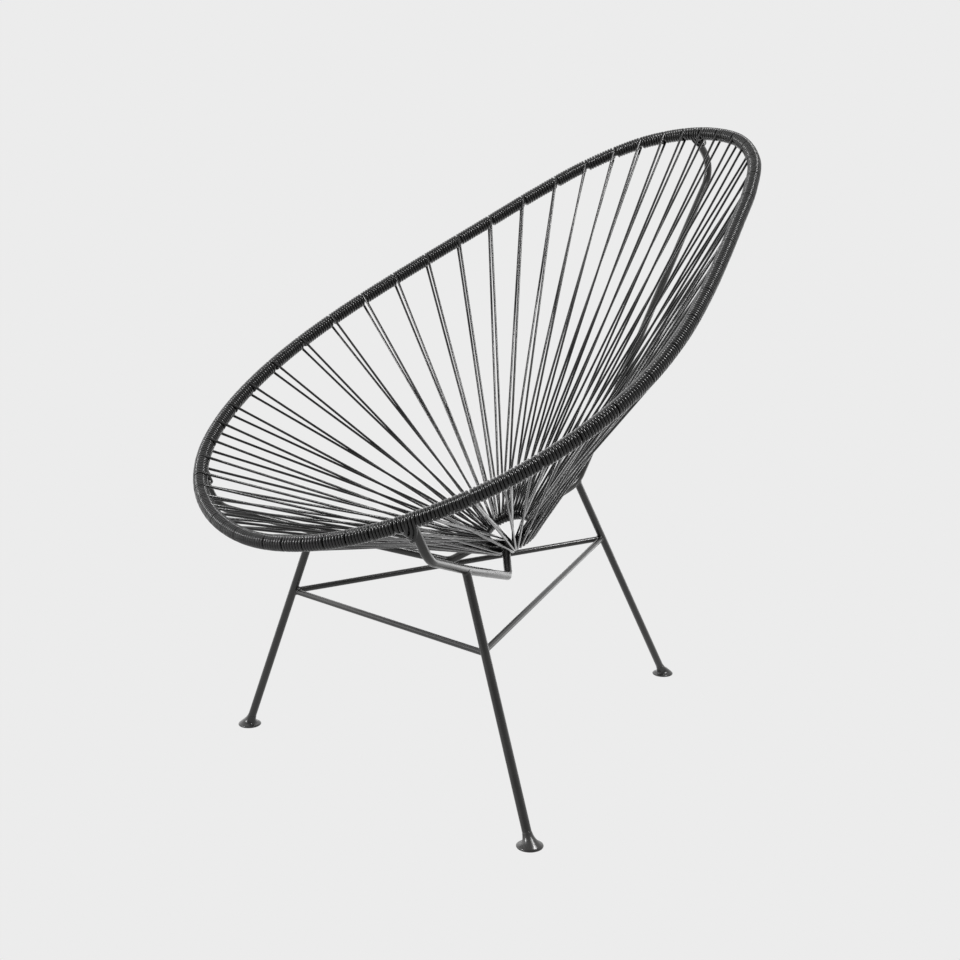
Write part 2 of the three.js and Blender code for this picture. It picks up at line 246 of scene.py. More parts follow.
def rounded_path(corners, step=2.0):
    """corners: (point, radius); radius 0 marks an end, 'soft' a point of a flowing curve."""
    pts = [vec(*c[0]) for c in corners]
    out = [pts[0]]
    for i in range(1, len(pts) - 1):
        p0, p, p1 = pts[i - 1], pts[i], pts[i + 1]
        a, b = unit(p0 - p), unit(p1 - p)
        half = 0.5 * math.acos(max(-1, min(1, a @ b)))
        if corners[i][1] == "soft":
            t = 0.5 * min(np.linalg.norm(p0 - p), np.linalg.norm(p1 - p))
            q0, q1 = 0.5 * (p0 + p), 0.5 * (p + p1)
            n = max(4, int(2 * t / step))
            for u in np.linspace(0, 1, n + 1):
                out.append((1 - u) ** 2 * q0 + 2 * u * (1 - u) * p + u * u * q1)
        else:
            r = corners[i][1]
            t = r / math.tan(half)
            q0, q1 = p + a * t, p + b * t
            c = p + unit(a + b) * r / math.sin(half)
            n = max(6, int((math.pi - 2 * half) * r / step * 1.6))
            e0, e1 = unit(q0 - c), unit(q1 - c)
            w = math.acos(max(-1, min(1, e0 @ e1)))
            for u in np.linspace(0, 1, n + 1):
                out.append(c + r * (math.sin((1 - u) * w) * e0 + math.sin(u * w) * e1) / math.sin(w))
    out.append(pts[-1])
    # even steps, no doubled points
    P = [out[0]]
    for q in out[1:]:
        if np.linalg.norm(q - P[-1]) > 0.15:
            P.append(q)
    Q = [P[0]]
    for a, b in zip(P, P[1:]):
        d = np.linalg.norm(b - a)
        m = max(1, int(d / 9.0))
        for k in range(1, m + 1):
            Q.append(a + (b - a) * k / m)
    return np.array(Q)


# ------------------------------------------------------------------ rings
def catmull(control, per=40):
    n = len(control)
    out = []
    for i in range(n):
        p0, p1, p2, p3 = (control[(i + k) % n] for k in (-1, 0, 1, 2))
        m1, m2 = (p2 - p0) / 2, (p3 - p1) / 2
        for k in range(per):
            t = k / per
            out.append((2 * t ** 3 - 3 * t ** 2 + 1) * p1 + (-2 * t ** 3 + 3 * t ** 2) * p2
                       + (t ** 3 - 2 * t ** 2 + t) * m1 + (t ** 3 - t ** 2) * m2)
    return np.array(out)


half = [vec(*p) for p in RING]
RING_PTS = catmull(half + [mirror(p) for p in half[-2:0:-1]])
RING_PTS = np.vstack([RING_PTS, RING_PTS[:1]])
RING_S = np.r_[0, np.cumsum(np.linalg.norm(np.diff(RING_PTS, axis=0), axis=1))]
L = RING_S[-1]


def ring_at(s):
    s = np.mod(s, L)
    return np.array([np.interp(s, RING_S, RING_PTS[:, k]) for k in range(3)]).T


def ring_frame(s):
    """Direction, inward and upward directions of the outer ring at s."""
    T = unit(ring_at(s + 1.5) - ring_at(s - 1.5))
    N = unit(UP - T * (UP @ T))
    return T, np.cross(T, N), N


def hub_at(a):
    return HUB + HUB_R * (math.sin(a) * SIDE + math.cos(a) * BACK)


def hub_frame(a):
    """Direction, outward and upward directions of the inner ring at angle a."""
    return math.cos(a) * SIDE - math.sin(a) * BACK, math.sin(a) * SIDE + math.cos(a) * BACK, UP


pieces = []


def place(ob, slot, *nodes):
    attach(ob, "root")
    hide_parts(*nodes)
    pieces.append(ob)
    return ob


def closed_rod(name, points, radius, sides):
    T, A, B = transport(points, closed=True)
    # the section frame must come back to itself: spread the leftover twist
    a_end = A[-1] - T[0] * (A[-1] @ T[0])
    a_end = unit(a_end)
    miss = math.atan2(np.cross(A[0], a_end) @ T[0], A[0] @ a_end)
    n = len(points)
    ang = np.arange(sides) * 2 * math.pi / sides
    V = []
    for i in range(n):
        w = ang - miss * i / n
        V.append(points[i] + radius * (np.cos(w)[:, None] * A[i] + np.sin(w)[:, None] * B[i]))
    F = lattice(n, sides)
    base = (n - 1) * sides
    for k in range(sides):
        k2 = (k + 1) % sides
        F.append((base + k, base + k2, k2, k))
    return mesh_object(name, np.vstack(V), F, PAINT)


place(closed_rod("ring_rod", np.array([ring_at(s) for s in np.linspace(0, L, 341)[:-1]]), ROD_R, 20), "frame", "outer_ring")
place(closed_rod("hub_rod", np.array([hub_at(a) for a in np.linspace(0, 2 * math.pi, 97)[:-1]]), ROD_R, 20), "frame", "inner_ring")

# ------------------------------------------------------------------ hoops
JOINT_S = 1122.6       # place along the ring where a front hoop is welded to its underside

FRONT_HOOP = [
    (ring_at(JOINT_S), 0), ((219.1, -96.4, 370.5), 41.0), ((158.6, 23.7, 326.7), 1500.0), ((61.9, 202.1, 267.4), 19.0),
    ((21.6, 237.7, 296.7), 0)]
REAR_HOOP = [
    (ring_at(0.0), 0), ((0, 743.5, 850.3), 41.0), ((0, 570, 591.8), "soft"), ((0, 428.5, 381.1), "soft"),
    ((0, 421.5, 372.3), "soft"), ((0, 411, 364.9), "soft"), ((0, 398, 359.1), "soft"), ((0, 346, 344.6), "soft"),
    ((0, 301, 335.3), 0)]
HOOP_LINES = {
    "hoop_front_left": rounded_path(FRONT_HOOP),
    "hoop_front_right": rounded_path([(mirror(p), r) for p, r in FRONT_HOOP]),
    "hoop_rear": rounded_path(REAR_HOOP),
}


# A round rod as an obstacle: nearest point of its axis line.
class Rod:
    def __init__(self, line, radius):
        self.line, self.radius = np.asarray(line, float), radius

    def nearest(self, p):
        a, b = self.line[:-1], self.line[1:]
        d = b - a
        t = np.clip(((p - a) * d).sum(1) / (d * d).sum(1), 0, 1)
        q = a + d * t[:, None]
        k = ((q - p) ** 2).sum(1).argmin()
        return q[k]

    def depth(self, p):
        """Above zero inside the rod."""
        return self.radius - np.linalg.norm(p - self.nearest(p))

    def surface(self, p, sink=0.12):
        q = self.nearest(p)
        return q + unit(p - q) * (self.radius - sink)


class Side:
    """The far side of a plane counts as inside."""

    def __init__(self, point, normal):
        self.point, self.normal = np.asarray(point, float), unit(np.asarray(normal, float))

    def depth(self, p):
        return (p - self.point) @ self.normal

    def surface(self, p, sink=0.12):
        return p - self.normal * ((p - self.point) @ self.normal - sink)


def first_hit(p, d, reach, obstacles):
    """How far from p along d the first obstacle's surface is."""
    best, which = reach, None
    for o in obstacles:
        lo = 0.0
        hit = None
        steps = np.arange(0.0, reach + 0.5, 0.5)
        prev = o.depth(p)
        if prev > 0:
            continue
        for t in steps[1:]:
            cur = o.depth(p + d * t)
            if cur > 0:
                lo, hi = t - 0.5, t
                for _ in range(18):
                    mid = 0.5 * (lo + hi)
                    if o.depth(p + d * mid) > 0:
                        hi = mid
                    else:
                        lo = mid
                hit = 0.5 * (lo + hi)
                break
        if hit is not None and hit < best:
            best, which = hit, o
    return best, which


def coped_end(centre, d, ring, obstacles, reach, bead, seed):
    """Rings that carry a rod's section `ring`, moving along d, onto the obstacles, with a weld bead round the seam."""
    sides = len(ring)
    hits, which = [], []
    for p in ring:
        t, o = first_hit(p, d, reach, obstacles)
        if o is None:
            # the ray passes beside the rod: it stops where it is nearest
            t = max(np.arange(0.0, reach, 0.25), key=lambda v: obstacles[0].depth(p + d * v))
        hits.append(t)
        which.append(o if o is not None else obstacles[0])
    hits = np.array(hits)
    out = []
    radial = np.array([unit((p - centre) - d * ((p - centre) @ d)) for p in ring])
    ripple = np.array([1 + 0.13 * math.sin(9 * 2 * math.pi * k / sides + seed) + 0.06 * noise(k, seed) for k in range(sides)])
    w = bead * ripple
    foot = ring + d * hits[:, None]
    toe = []
    for k in range(sides):
        toe.append(which[k].surface(foot[k] + radial[k] * w[k], 0.15))
    toe = np.array(toe)
    start = ring + d * np.maximum(hits - w * 1.15, 0.2)[:, None]
    out.append(ring + d * np.maximum(hits - w * 1.15 - 1.2, 0.1)[:, None])
    out.append(start)
    for u, bulge in ((0.2, 0.2), (0.45, 0.30), (0.72, 0.24), (0.9, 0.10)):
        mid = start * (1 - u) + toe * u
        push = np.array([unit(radial[k] * 0.75 - d * 0.65) for k in range(sides)])
        out.append(mid + push * (w * bulge * 0.55)[:, None])
    out.append(toe)
    # closed under the bead, along the obstacle's surface
    for shrink in (0.66, 0.33):
        row = []
        for k in range(sides):
            p = centre + (foot[k] - centre) * 1.0
            axis = centre + d * ((foot[k] - centre) @ d)
            q = axis + (p - axis) * shrink
            row.append(which[k].surface(q, 0.6))
        out.append(np.array(row))
    return out


def straight_rod(name, a, b, radius, sides, cope_a=None, cope_b=None, bead=2.0, reach=16.0):
    """A straight rod from a to b. cope_a and cope_b are lists of obstacles that it is welded to; the ends then lie short of them."""
    d = unit(b - a)
    u = unit(np.cross(d, vec(0, 0, 1)) if abs(d[2]) < 0.9 else np.cross(d, vec(1, 0, 0)))
    v = np.cross(d, u)
    ang = np.arange(sides) * 2 * math.pi / sides
    section = radius * (np.cos(ang)[:, None] * u + np.sin(ang)[:, None] * v)
    rings = []
    if cope_a:
        rings += [r for r in reversed(coped_end(a, -d, a + section, cope_a, reach, bead, 1.7))]
    for p in line_points(a, b, 12.0):
        rings.append(p + section)
    if cope_b:
        rings += coped_end(b, d, b + section, cope_b, reach, bead, 0.4)
    return close_tube(name, rings, PAINT)


HUB_ROD = Rod([hub_at(a) for a in np.linspace(0, 2 * math.pi, 181)], ROD_R)
RING_ROD = Rod([ring_at(s) for s in np.linspace(0, L, 561)], ROD_R)


def hoop_piece(name, line):
    """A bent rod, coped and welded to the outer ring at one end and to the inner ring at the other."""
    front, back = 16.0, 11.0
    acc = np.r_[0, np.cumsum(np.linalg.norm(np.diff(line, axis=0), axis=1))]
    a, b = (np.array([np.interp(x, acc, line[:, k]) for k in range(3)]) for x in (front, acc[-1] - back))
    keep = (acc > front + 1) & (acc < acc[-1] - back - 1)
    rings, T = tube_rings(np.vstack([a, line[keep], b]), ROD_R, 24)
    rows = [r for r in reversed(coped_end(a, unit(line[0] - a), rings[0], [RING_ROD], 16.0, 1.3, 0.9))]
    rows += list(rings) + coped_end(b, unit(line[-1] - b), rings[-1], [HUB_ROD], 16.0, 2.0, 2.2)
    return close_tube(name, rows, PAINT)


for n, line in HOOP_LINES.items():
    place(hoop_piece(n + "_rod", line), "frame", n)

# ------------------------------------------------------------------ legs, feet and stretchers
HOOP_RODS = {n: Rod(l, ROD_R) for n, l in HOOP_LINES.items()}


def leg_at(leg, z):
    return vec(leg["foot"][0] + leg["lean"][0] * z, leg["foot"][1] + leg["lean"][1] * z, z)


LEG_RODS = {}
for n, leg in LEGS.items():
    LEG_RODS[n] = Rod([leg_at(leg, 3), leg_at(leg, leg["top"])], ROD_R)
    hoop = HOOP_RODS[n.replace("leg", "hoop")]
    low, high = leg_at(leg, 7.5), leg_at(leg, leg["top"] - 14)
    ob = straight_rod(n + "_rod", low, high, ROD_R, 24, cope_b=[hoop], bead=1.9, reach=22)
    place(ob, "frame", n)

# height over the floor, radius, and how much of the leg's lean the section has taken up
FOOT = [(0.0, 0.0, 0), (0.0, 8.0, 0), (0.0, 14.0, 0), (0.35, 15.6, 0), (1.0, 16.7, 0), (1.9, 17.25, 0), (2.8, 17.25, 0), (3.6, 16.7, 0.05),
        (4.4, 15.5, 0.1), (5.2, 14.0, 0.2), (6.1, 12.4, 0.35), (7.2, 10.9, 0.5), (8.6, 9.5, 0.7), (10.3, 8.35, 0.85),
        (12.3, 7.45, 0.95), (14.6, 6.8, 1), (16.6, 6.45, 1), (17.6, 6.3, 1), (18.0, 6.12, 1), (18.0, 5.6, 1)]


def foot_piece(name, leg):
    sides = 48
    ang = np.arange(sides) * 2 * math.pi / sides
    d = unit(leg_at(leg, 1) - leg_at(leg, 0))
    base = leg_at(leg, 4) * [1, 1, 0]
    rows = []
    for h, r, tilt in FOOT[1:]:
        axis = leg_at(leg, h)
        c = base * (1 - tilt) + axis * tilt
        c[2] = h
        flat = np.stack([np.cos(ang), np.sin(ang), np.zeros(sides)], 1)
        # on the neck the section is square to the leg
        lean = flat - d * (flat @ d)[:, None]
        lean /= np.linalg.norm(lean, axis=1)[:, None]
        dirs = flat * (1 - tilt) + lean * tilt
        dirs /= np.linalg.norm(dirs, axis=1)[:, None]
        rows.append(c + dirs * r)
    return close_tube(name, rows, PAINT)


for n, leg in LEGS.items():
    foot = n.replace("leg", "foot")
    place(foot_piece(foot + "_glide", leg), "frame", foot)


def inward(p, a, b):
    return unit(unit(a - p) + unit(b - p))


LEG_LINE = {"left": LEGS["leg_front_left"], "right": LEGS["leg_front_right"], "rear": LEGS["leg_rear"]}


def joint_at(name, z):
    p = leg_at(LEG_LINE[name], z)
    a, b = (leg_at(LEG_LINE[k], z) for k in LEG_LINE if k != name)
    return p + ROD_R * inward(p, a, b)


ends = {"front": (joint_at("left", STRETCHER_Z["front"][0]), joint_at("right", STRETCHER_Z["front"][1])),
        "left": (joint_at("left", STRETCHER_Z["left"][0]), joint_at("rear", STRETCHER_Z["left"][1])),
        "right": (joint_at("right", STRETCHER_Z["right"][0]), joint_at("rear", STRETCHER_Z["right"][1]))}
front_dir = unit(ends["front"][1] - ends["front"][0])
front_rod = Rod([ends["front"][0] + front_dir * -6, ends["front"][1] + front_dir * 6], STRETCHER_R)
inset = 20.0
place(straight_rod("stretcher_front_rod", ends["front"][0] + front_dir * inset, ends["front"][1] - front_dir * inset, STRETCHER_R, 20,
                   cope_a=[LEG_RODS["leg_front_left"]], cope_b=[LEG_RODS["leg_front_right"]], bead=1.7, reach=26), "frame", "stretcher_front")
for side, sign in (("left", 1), ("right", -1)):
    a, b = ends[side]
    d = unit(b - a)
    place(straight_rod(f"stretcher_{side}_rod", a + d * 24, b - d * 24, STRETCHER_R, 20,
                       cope_a=[LEG_RODS[f"leg_front_{side}"], front_rod], cope_b=[LEG_RODS["leg_rear"], Side(vec(sign * 0.1, 0, 0), vec(-sign, 0, 0))],
                       bead=1.7, reach=30), "frame", f"stretcher_{side}")

# ------------------------------------------------------------------ cord
SS = NOTCH + [L - s for s in reversed(NOTCH)]
COUNT = len(SS)
ph = [7.3 * k + 5 if k < 20 else 0 for k in range(27)]
for k in range(20, 27):
    ph[k] = ph[19] + (177.6 - ph[19]) * (k - 19) / 7
PHI = [math.radians(a) for a in ph] + [2 * math.pi - math.radians(a) for a in reversed(ph)]


def notch_s(i):
    return SS[i % COUNT] + L * (i // COUNT)


def notch_phi(i):
    return PHI[i % COUNT] + 2 * math.pi * (i // COUNT)


def between(i):
    """Angle on the inner ring between notches i and i+1."""
    return 0.5 * (notch_phi(i) + notch_phi(i + 1))


# where the cord leaves the underside of the inner ring it passes beside the three rods welded there
BLOCKS = [(0.0, 12.3), (147.0, 12.0), (213.0, 12.0)]
under_phi = [math.degrees(between(i)) for i in range(COUNT)]


def spread(values, centre, clear, step):
    """Moves angles out of centre +- clear and keeps them at least step apart while doing so."""
    rel = [((v - centre + 180) % 360) - 180 for v in values]
    plus = sorted([k for k in range(len(rel)) if 0 < rel[k] < 60], key=lambda k: rel[k])
    minus = sorted([k for k in range(len(rel)) if -60 < rel[k] <= 0], key=lambda k: -rel[k])
    for group, sign in ((plus, 1), (minus, -1)):
        low = clear
        for k in group:
            a = abs(rel[k])
            if a < low:
                values[k] += sign * (low - a)
                a = low
                low = a + step
            else:
                low = max(low, a) if a > low + step else a + step * 0.0
                if a >= low:
                    break


for c, w in BLOCKS:
    spread(under_phi, c, w, 5.2 if c == 0 else 3.6)


def tangent_angle(P, A1, A2, Q, r, upper):
    """Angle in the plane (A1, A2) of the point where a line from Q touches the circle r round P, on A2's side or below."""
    e1, e2 = (Q - P) @ A1, (Q - P) @ A2
    d = math.hypot(e1, e2)
    base = math.atan2(e2, e1)
    off = math.acos(min(1, r / d))
    cand = [base + off, base - off]
    cand.sort(key=lambda a: math.sin(a))
    return cand[1] if upper else cand[0]


TAU_OUT = 0.22    # how fast, in radians round the rod, a strand's slant dies out in the winding
TAU_HUB = 0.35


def lay_strand(s_nominal, a, r_hub, out_upper):
    """The straight strand between the outer ring near s_nominal and the inner ring at angle a.
    Returns the point, angle, station and slope at each end. out_upper: it leaves the top of the outer ring and meets the underside of the inner."""
    s, phi = s_nominal, a
    P, Q = ring_at(s), hub_at(phi)
    for _ in range(4):
        T, I, N = ring_frame(s)
        Th, O, Nh = hub_frame(phi)
        C, H = ring_at(s), hub_at(phi)
        th = tangent_angle(C, I, N, Q, WOUND_R, out_upper)
        P = C + WOUND_R * (math.cos(th) * I + math.sin(th) * N)
        ps = tangent_angle(H, O, Nh, P, r_hub, not out_upper)
        Q = H + r_hub * (math.cos(ps) * O + math.sin(ps) * Nh)
        d = unit(P - Q) if out_upper else unit(Q - P)      # the way the cord runs
        e_th = -math.sin(th) * I + math.cos(th) * N
        e_ps = -math.sin(ps) * O + math.cos(ps) * Nh
        slope = WOUND_R * (d @ T) / (d @ e_th)             # mm of s for each radian round the outer rod
        slope_h = r_hub * (d @ Th) / (d @ e_ps)
        flat = PITCH / (2 * math.pi)
        s = s_nominal + (-1 if out_upper else 1) * (slope - flat) * TAU_OUT
    return dict(P=P, Q=Q, th=th, ps=ps, slope=slope, slope_h=slope_h, s=s)


def hub_layer(i):
    """Where the strands crowd at the front of the inner ring, every other turn lies on its neighbours."""
    k = i % COUNT
    return 2.3 if 19 <= k <= 34 and k % 2 else 0.0


# where single strands leave the ring beside their regular place: mm along it
ASIDE_UP = {33: 4.75, 34: 3.5}
ASIDE_DOWN = {33: 3.0, 34: 3.5}
up_strand, down_strand = {}, {}
for i in range(COUNT):
    lat = LAT + 0.25 * noise(i, 1)
    a_low = math.radians(under_phi[i])
    s_up, s_down = SS[i] + lat + ASIDE_UP.get(i, 0), SS[i] - lat + ASIDE_DOWN.get(i, 0)
    up_strand[i] = lay_strand(s_up, a_low, WOUND_R + hub_layer(i) * 0.7, True)
    down_strand[i] = lay_strand(s_down, between(i - 1) + math.radians(0.5 * noise(i, 2)), WOUND_R + hub_layer(i), False)
    up_strand[i]["mark"], down_strand[i]["mark"] = s_up, s_down


def smooth_step(x):
    x = max(0.0, min(1.0, x))
    return x * x * (3 - 2 * x)


# joints of the ring with the hoops. The turns that meet the rod there are laid round it, below the ring,
# in loops: down across its outer face, round the side that faces along the ring, up across its inner face.
# deep: lowest point of the first loop under the ring's axis; step: how much lower each next one is;
# shift: how far the loops sit toward the end of the ring that they go round
JOINTS = [dict(s=0.0, rod="hoop_rear", deep=13.5, step=4.6, shift=0.4), dict(s=JOINT_S, rod="hoop_front_left", deep=14.6, step=5.5, shift=1.2),
          dict(s=L - JOINT_S, rod="hoop_front_right", deep=14.6, step=5.5, shift=0.4)]
for j in JOINTS:
    T, I, N = ring_frame(j["s"])
    line = HOOP_LINES[j["rod"]]
    j["obstacle"] = Rod(line[:60], ROD_R)
    j["at"] = line[0]
    j["u"] = unit(line[1] - line[0])
    j["T"] = unit(T - j["u"] * (T @ j["u"]))
    j["w"] = np.cross(j["T"], j["u"])
    j["turn"] = math.atan2(-(j["u"] @ I), -(j["u"] @ N))


def joint_point(j, a, p, q):
    """Point a along the ring from a joint, p below the ring's axis along the rod, q outward."""
    T, I, N = ring_frame(j["s"] + a)
    c, s = math.cos(j["turn"]), math.sin(j["turn"])
    by_ring = ring_at(j["s"] + a) + p * (-N * c - I * s) + q * (-I * c + N * s)
    by_rod = j["at"] + j["T"] * a + j["u"] * p + j["w"] * q
    k = smooth_step((p - 2) / 10)
    return by_ring * (1 - k) + by_rod * k


def loop_turn(j, a0, a1, au, deep, bulge, lift):
    """One turn from the top of the ring at a0 to the top at a1 that passes round the rod. au: its place if it were plain;
    bulge: how far it stands off the side of the rod."""
    r = WOUND_R + lift
    quarter = (a1 - a0) / 4
    ae, ai = au - quarter, au + quarter

    def face(start, sign):
        """From beside the ring straight down, turning more and more round the rod to its side."""
        rows = []
        for phi in np.linspace(0, math.pi / 2, 19):
            c = start + (r * math.pi / 2 - start) * (1 - math.cos(phi))
            p = deep * math.sin(phi)
            k = smooth_step((p - 1) / 6)
            psi = max(0.0, c) / r
            wide = r + bulge * math.sin(psi)
            a = c if c < 0 else c * (1 - k) + wide * math.sin(psi) * k
            rows.append((a, p, sign * (r * (1 - k) + (wide * math.cos(psi) if c > 0 else r) * k)))
        return rows

    out = []
    for t in np.linspace(0, 1, 10)[:-1]:
        out.append((a0 + (ae - a0) * t, -r * math.cos(t * math.pi / 2), r * math.sin(t * math.pi / 2)))
    out += face(ae, 1) + face(ai, -1)[-2::-1]
    for t in np.linspace(0, 1, 10)[1:]:
        out.append((ai + (a1 - ai) * t, -r * math.sin(t * math.pi / 2), -r * math.cos(t * math.pi / 2)))
    P = np.array([joint_point(j, *x) for x in out])
    for _ in range(4):
        P[1:-1] = 0.5 * P[1:-1] + 0.25 * (P[:-2] + P[2:])
        for rod in (RING_ROD, j["obstacle"]):
            for k in range(1, len(P) - 1):
                q = rod.nearest(P[k])
                d = P[k] - q
                n = math.sqrt(d @ d)
                if n < r:
                    P[k] = q + d * (r / n)
    acc = np.r_[0, np.cumsum(np.linalg.norm(np.diff(P, axis=0), axis=1))]
    at = np.linspace(0, acc[-1], max(20, int(acc[-1] / 1.7)) + 1)
    return [np.array([np.interp(x, acc, P[:, k]) for k in range(3)]) for x in at]


def wound_point(s, th, lift=0.0):
    """Centre of the cord at station s of the outer ring and angle th round it: 0 inside, 90 on top, 180 outside."""
    T, I, N = ring_frame(s)
    return ring_at(s) + (WOUND_R + lift) * (math.cos(th) * I + math.sin(th) * N)


def winding(i):
    """Centre line of the turns between notches i and i+1, from the arriving strand to the leaving one."""
    a, b = up_strand[i % COUNT], down_strand[(i + 1) % COUNT]
    turn_over = L if i == COUNT - 1 else 0.0
    s0, s1 = a["mark"], b["mark"] + turn_over
    n = max(1, round((s1 - s0) / PITCH - (1.0 if i == COUNT - 1 else 0.5)))     # one turn fewer over the rear joint
    th0 = a["th"] % (2 * math.pi)
    th1 = b["th"] % (2 * math.pi) + 2 * math.pi * n
    lin0, lin1 = math.pi / 2, 1.5 * math.pi + 2 * math.pi * n
    flat = (s1 - s0) / (lin1 - lin0)

    def station(th):
        s = s0 + (th - lin0) * flat
        s += -(a["slope"] - flat) * TAU_OUT * math.exp(-(th - th0) / TAU_OUT)
        return s + (b["slope"] - flat) * TAU_OUT * math.exp(-(th1 - th) / TAU_OUT)

    def plain(th):
        turn = (th - th0) / (2 * math.pi)
        k = math.floor(turn)
        f = smooth_step(turn - k)
        loose = noise(i * 31 + k, 3) * (1 - f) + noise(i * 31 + k + 1, 3) * f
        sway = noise(i * 31 + k, 4) * (1 - f) + noise(i * 31 + k + 1, 4) * f
        fade = min(1, (th - th0) / 2, (th1 - th) / 2)
        p = wound_point(station(th) + 0.12 * sway * fade, th, (0.09 + 0.09 * loose) * fade)
        for rod in beside:
            q = rod.nearest(p)
            if np.linalg.norm(p - q) < WOUND_R + 0.1:
                p = q + unit(p - q) * (WOUND_R + 0.1)
        return p

    loops, beside = [], []
    for j in JOINTS:
        for sj in (j["s"], j["s"] + L):
            if s0 < sj < s1:
                beside.append(j["obstacle"])
                top = math.pi / 2 - j["turn"]
                m = math.ceil((th0 - top) / (2 * math.pi))
                while top + 2 * math.pi * (m + 1) < th1:
                    au = station(top + 2 * math.pi * m + math.pi) - sj
                    if -6.5 < au < 8.2:
                        loops.append((top + 2 * math.pi * m, au + j["shift"], sj, j))
                    m += 1
    pts = []

    def run(lo, hi):
        for th in np.linspace(lo, hi, max(2, int((hi - lo) / (2 * math.pi) * 24) + 1)):
            pts.append(plain(th))

    if not loops:
        run(th0, th1)
        return pts
    run(th0, loops[0][0])
    for k, (th, au, sj, j) in enumerate(loops):
        order = len(loops) - 1 - k
        pts += loop_turn(j, station(th) - sj, station(th + 2 * math.pi) - sj, au, j["deep"] + j["step"] * order, max(0.0, 4.0 - 1.2 * order), 0.1)
    run(loops[-1][0] + 2 * math.pi, th1)
    return pts


def hub_turn(i):
    """Half turn round the inner ring, from strand down i on top to strand up i on the underside."""
    b, a = down_strand[i], up_strand[i]
    f0, f1 = between(i - 1), math.radians(under_phi[i])
    if i == 0:
        f1 = (f1 + math.pi) % (2 * math.pi) - math.pi
    if f1 - f0 > math.pi:
        f1 -= 2 * math.pi
    if f1 - f0 < -math.pi:
        f1 += 2 * math.pi
    p0, p1 = b["ps"] % (2 * math.pi), a["ps"] % (2 * math.pi)
    f0 += math.radians(0.5 * noise(i, 2))
    pts = []
    steps = 16
    flat = (f1 - f0) / (p1 - p0)
    r0, r1 = WOUND_R + hub_layer(i), WOUND_R + hub_layer(i) * 0.7
    for k in range(steps + 1):
        u = k / steps
        ps = p0 + (p1 - p0) * u
        r = r0 * (1 - u) + r1 * u
        eff = HUB_R + r * math.cos(ps)
        # angle along the ring, with the strands' own slant at each end
        m0 = b["slope_h"] / (HUB_R + r0 * math.cos(p0)) * (p1 - p0)
        m1 = a["slope_h"] / (HUB_R + r1 * math.cos(p1)) * (p1 - p0)
        lim = 0.30
        m0, m1 = max(-lim, min(lim, m0)), max(-lim, min(lim, m1))
        f = ((2 * u ** 3 - 3 * u ** 2 + 1) * f0 + (-2 * u ** 3 + 3 * u ** 2) * f1 + (u ** 3 - 2 * u ** 2 + u) * m0 + (u ** 3 - u ** 2) * m1)
        T, O, N = hub_frame(f)
        pts.append(hub_at(f) + r * (math.cos(ps) * O + math.sin(ps) * N))
    return pts


def strand_points(p, q, i, kind):
    """Points between p and q, without them; the cord is taut but not perfectly straight."""
    d = q - p
    length = np.linalg.norm(d)
    d = d / length
    side = unit(np.cross(d, vec(0, 0, 1)))
    down = unit(np.cross(d, side))
    if down[2] > 0:
        down = -down
    n = max(6, int(length / 26))
    bow, sag = 0.5 * noise(i, 5 + kind), 0.35 + 0.25 * noise(i, 7 + kind)
    wave = 0.18 * noise(i, 9 + kind)
    out = []
    for k in range(1, n):
        t = k / n
        m = math.sin(math.pi * t)
        out.append(p + d * length * t + side * (bow * m + wave * math.sin(2 * math.pi * t)) + down * sag * m)
    return out


SECTORS = 18
for k in range(SECTORS):
    start = 3 * k - 2
    path, thick = [], []

    def lay(points, radius):
        path.extend(points)
        thick.extend([radius] * len(points))

    for i in range(start, start + 3):
        i0 = i % COUNT
        nxt = (i + 1) % COUNT
        lay(hub_turn(i0), CORD_R)
        g = winding(i0)
        lay(strand_points(path[-1], g[0], i0, 0), TAUT_R)
        lay(g, CORD_R)
        lay(strand_points(g[-1], down_strand[nxt]["Q"], nxt, 1), TAUT_R)
    lay(hub_turn((start + 3) % COUNT)[:1], CORD_R)
    P = np.array(path)
    keep = np.r_[True, np.linalg.norm(np.diff(P, axis=0), axis=1) > 0.25]
    P, thick = P[keep], np.array(thick)[keep]
    sides = 12
    rings, T = tube_rings(P, thick, sides)
    V = rings.reshape(-1, 3)
    F = lattice(len(P), sides)
    acc = np.r_[0, np.cumsum(np.linalg.norm(np.diff(P, axis=0), axis=1))] * MM
    uv = []
    for r in range(len(P) - 1):
        for c in range(sides):
            uv += [(acc[r] * 10, c / sides), (acc[r] * 10, (c + 1) / sides), (acc[r + 1] * 10, (c + 1) / sides), (acc[r + 1] * 10, c / sides)]
    V = V.tolist()
    for base, flip in ((0, True), ((len(P) - 1) * sides, False)):
        V.append(np.mean(V[base:base + sides], axis=0).tolist())
        c = len(V) - 1
        for q in range(sides):
            q2 = (q + 1) % sides
            F.append((base + q2, base + q, c) if flip else (base + q, base + q2, c))
            uv += [(0, 0), (0, 0), (0, 0)]
    place(mesh_object(f"cord_{k + 1:02d}", V, F, VINYL, uv), "cord", f"seat_cord_{k + 1:02d}")

# ------------------------------------------------------------------ floor, light and camera
world = bpy.data.worlds.new("studio")
bpy.context.scene.world = world
world.use_nodes = True
wn = world.node_tree
wn.nodes.clear()
w_out = wn.nodes.new("ShaderNodeOutputWorld")
BACKDROP = 0.8388       # 236 of 255


def background(strength):
    b = wn.nodes.new("ShaderNodeBackground")
    b.inputs["Color"].default_value = (1, 1, 1, 1)
    b.inputs["Strength"].default_value = strength
    return b


seen, lit = background(BACKDROP), background(1.0)
# the studio: bright behind the chair and on its left, dimmer on the side of the viewer
way = wn.nodes.new("ShaderNodeTexCoord").outputs["Generated"]


